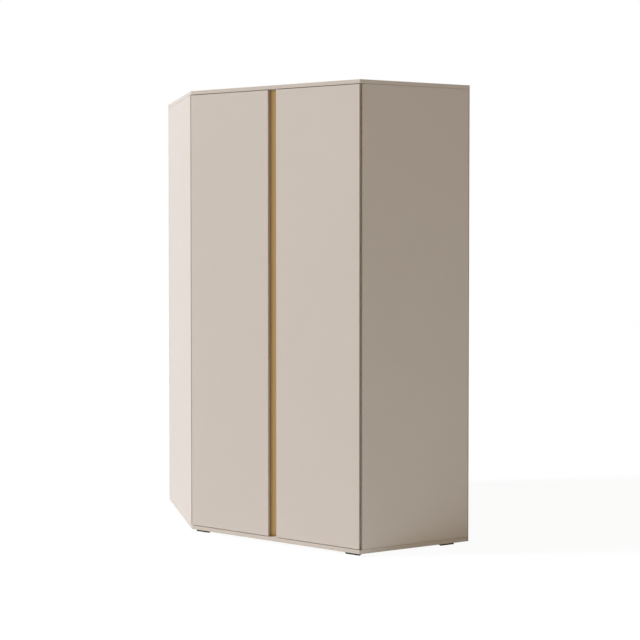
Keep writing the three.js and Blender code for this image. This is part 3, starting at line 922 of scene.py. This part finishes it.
class WARDROBE_OT_bumpers(bpy.types.Operator):
    """Dress the soft pads that the doors close on"""

    bl_idname = "wardrobe.bumpers"
    bl_label = "Bumpers"

    def execute(self, context):
        foot_share, chamfer_share, dome_share = 0.96, 0.06, 0.45
        quarter = [math.radians(15 * step) for step in range(7)]
        for side in SIDES:
            for place in ("lower", "upper"):
                node = f"{side}_bumper_{place}"
                low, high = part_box(node)
                radius, height = (high.x - low.x) / 2, high.y - low.y
                dome = height * dome_share
                profile = [(0, 0), (radius * foot_share, 0), (radius, height * chamfer_share)]
                for angle in quarter:
                    profile.append((radius * math.cos(angle), height - dome + dome * math.sin(angle)))
                profile[-1] = (0, height)
                bm = turned(profile, steps=32)
                base = Vector(((low.x + high.x) / 2, high.y, (low.z + high.z) / 2))
                bmesh.ops.transform(bm, matrix=facing(FORWARD, base), verts=bm.verts)
                add_piece(f"{node}_dressed", bm, [soft_pad()], node, smooth=40)
        return {"FINISHED"}


# Stage


def colour_by_ray(tree, light, seen):
    """Mixes two shaders: what lights the object, and what the camera and glossy surfaces see."""
    path = tree.nodes.new("ShaderNodeLightPath")
    seen_rays = None
    for ray in ("Is Camera Ray", "Is Glossy Ray", "Is Transmission Ray"):
        if seen_rays is None:
            seen_rays = path.outputs[ray]
            continue
        both = tree.nodes.new("ShaderNodeMath")
        both.operation = "MAXIMUM"
        tree.links.new(seen_rays, both.inputs[0])
        tree.links.new(path.outputs[ray], both.inputs[1])
        seen_rays = both.outputs["Value"]
    mix = tree.nodes.new("ShaderNodeMixShader")
    tree.links.new(seen_rays, mix.inputs["Fac"])
    tree.links.new(light, mix.inputs[1])
    tree.links.new(seen, mix.inputs[2])
    return mix.outputs["Shader"]


class WARDROBE_OT_stage(bpy.types.Operator):
    """Set up the camera at the photograph's angle, the lights and the pale floor"""

    bl_idname = "wardrobe.stage"
    bl_label = "Stage"

    def execute(self, context):
        settings = context.scene.wardrobe_stage
        self.camera(context, settings)
        self.lights(context, settings)
        self.floor(context, settings)
        context.scene.view_settings.view_transform = "Standard"
        return {"FINISHED"}

    def camera(self, context, settings):
        data = bpy.data.cameras.new("camera")
        data.lens = settings.lens
        data.shift_y = settings.camera_shift
        camera = bpy.data.objects.new("camera", data)
        camera.location = settings.camera_place
        tilt, turn = math.radians(90 - settings.camera_dip), math.radians(settings.camera_turn)
        camera.rotation_euler = (tilt, 0, turn)
        context.scene.collection.objects.link(camera)
        context.scene.camera = camera

    def lights(self, context, settings):
        for lamp in LAMPS:
            self.soft_panel(context, settings.lamp_distance, **lamp)
        world = bpy.data.worlds.new("studio")
        world.use_nodes = True
        tree = world.node_tree
        light = tree.nodes["Background"]
        light.inputs["Color"].default_value = (*settings.sky, 1)
        light.inputs["Strength"].default_value = settings.sky_level
        white = tree.nodes.new("ShaderNodeBackground")
        white.inputs["Color"].default_value = (1, 1, 1, 1)
        white.inputs["Strength"].default_value = 1.0
        shader = colour_by_ray(tree, light.outputs["Background"], white.outputs["Background"])
        tree.links.new(shader, tree.nodes["World Output"].inputs["Surface"])
        context.scene.world = world

    def soft_panel(self, context, distance, name, azimuth, elevation, irradiance, width, colour, glossy):
        """A square lamp that faces the object from so many degrees left of the front and above level."""
        turn, rise = math.radians(azimuth), math.radians(elevation)
        toward = Vector(
            (-math.sin(turn) * math.cos(rise), -math.cos(turn) * math.cos(rise), math.sin(rise))
        )
        data = bpy.data.lights.new(name, "AREA")
        data.size = width
        data.energy = irradiance * math.pi * distance**2
        data.color = colour
        lamp = bpy.data.objects.new(name, data)
        lamp.location = toward * distance
        lamp.rotation_euler = toward.to_track_quat("Z", "Y").to_euler()
        lamp.visible_camera = False
        lamp.visible_glossy = glossy
        context.scene.collection.objects.link(lamp)

    def floor(self, context, settings):
        """A floor that bounces light as a pale one does, and that the camera sees white but shaded."""
        shadow_share, glow_level = 0.08, 0.95
        bm = bmesh.new()
        bmesh.ops.create_grid(bm, x_segments=1, y_segments=1, size=settings.floor_reach)
        mesh = bpy.data.meshes.new("floor")
        bm.to_mesh(mesh)
        bm.free()
        floor = bpy.data.objects.new("floor", mesh)
        context.scene.collection.objects.link(floor)
        material = bpy.data.materials.new("pale_floor")
        material.use_nodes = True
        tree = material.node_tree
        bounce = tree.nodes["Principled BSDF"]
        bounce.inputs["Base Color"].default_value = (*settings.floor, 1)
        bounce.inputs["Roughness"].default_value = 0.9
        shade = tree.nodes.new("ShaderNodeBsdfDiffuse")
        shade.inputs["Color"].default_value = (shadow_share, shadow_share, shadow_share, 1)
        glow = tree.nodes.new("ShaderNodeEmission")
        glow.inputs["Color"].default_value = (1, 1, 1, 1)
        glow.inputs["Strength"].default_value = glow_level
        both = tree.nodes.new("ShaderNodeAddShader")
        tree.links.new(shade.outputs["BSDF"], both.inputs[0])
        tree.links.new(glow.outputs["Emission"], both.inputs[1])
        shader = colour_by_ray(tree, bounce.outputs["BSDF"], both.outputs["Shader"])
        tree.links.new(shader, tree.nodes["Material Output"].inputs["Surface"])
        mesh.materials.append(material)


# Sidebar panel and registration


class WARDROBE_PT_panel(bpy.types.Panel):
    """Lists the wardrobe's groups of pieces and its settings"""

    bl_idname = "WARDROBE_PT_panel"
    bl_label = "Corner Wardrobe"
    bl_space_type = "VIEW_3D"
    bl_region_type = "UI"
    bl_category = "Wardrobe"

    def draw(self, context):
        for operator in OPERATORS:
            self.layout.operator(operator.bl_idname)
        for name in SETTINGS:
            box = self.layout.box()
            group = getattr(context.scene, name)
            for field in group.__annotations__:
                box.prop(group, field)


OPERATORS = (
    WARDROBE_OT_stage,
    WARDROBE_OT_carcass,
    WARDROBE_OT_doors,
    WARDROBE_OT_grip_strip,
    WARDROBE_OT_hinges,
    WARDROBE_OT_rail,
    WARDROBE_OT_brackets,
    WARDROBE_OT_joinery,
    WARDROBE_OT_feet,
    WARDROBE_OT_bumpers,
)
SETTINGS = {
    "wardrobe_boards": BoardSettings,
    "wardrobe_strip": StripSettings,
    "wardrobe_fittings": FittingSettings,
    "wardrobe_stage": StageSettings,
}
CLASSES = (*SETTINGS.values(), *OPERATORS, WARDROBE_PT_panel)


def register():
    for cls in CLASSES:
        bpy.utils.register_class(cls)
    for name, group in SETTINGS.items():
        setattr(bpy.types.Scene, name, PointerProperty(type=group))


def unregister():
    for name in SETTINGS:
        delattr(bpy.types.Scene, name)
    for cls in reversed(CLASSES):
        bpy.utils.unregister_class(cls)


def main():
    register()
    bpy.ops.wardrobe.stage()
    bpy.ops.wardrobe.carcass()
    bpy.ops.wardrobe.doors()
    bpy.ops.wardrobe.grip_strip()
    bpy.ops.wardrobe.hinges()
    bpy.ops.wardrobe.rail()
    bpy.ops.wardrobe.brackets()
    bpy.ops.wardrobe.joinery()
    bpy.ops.wardrobe.feet()
    bpy.ops.wardrobe.bumpers()


if __name__ == "__main__":
    main()
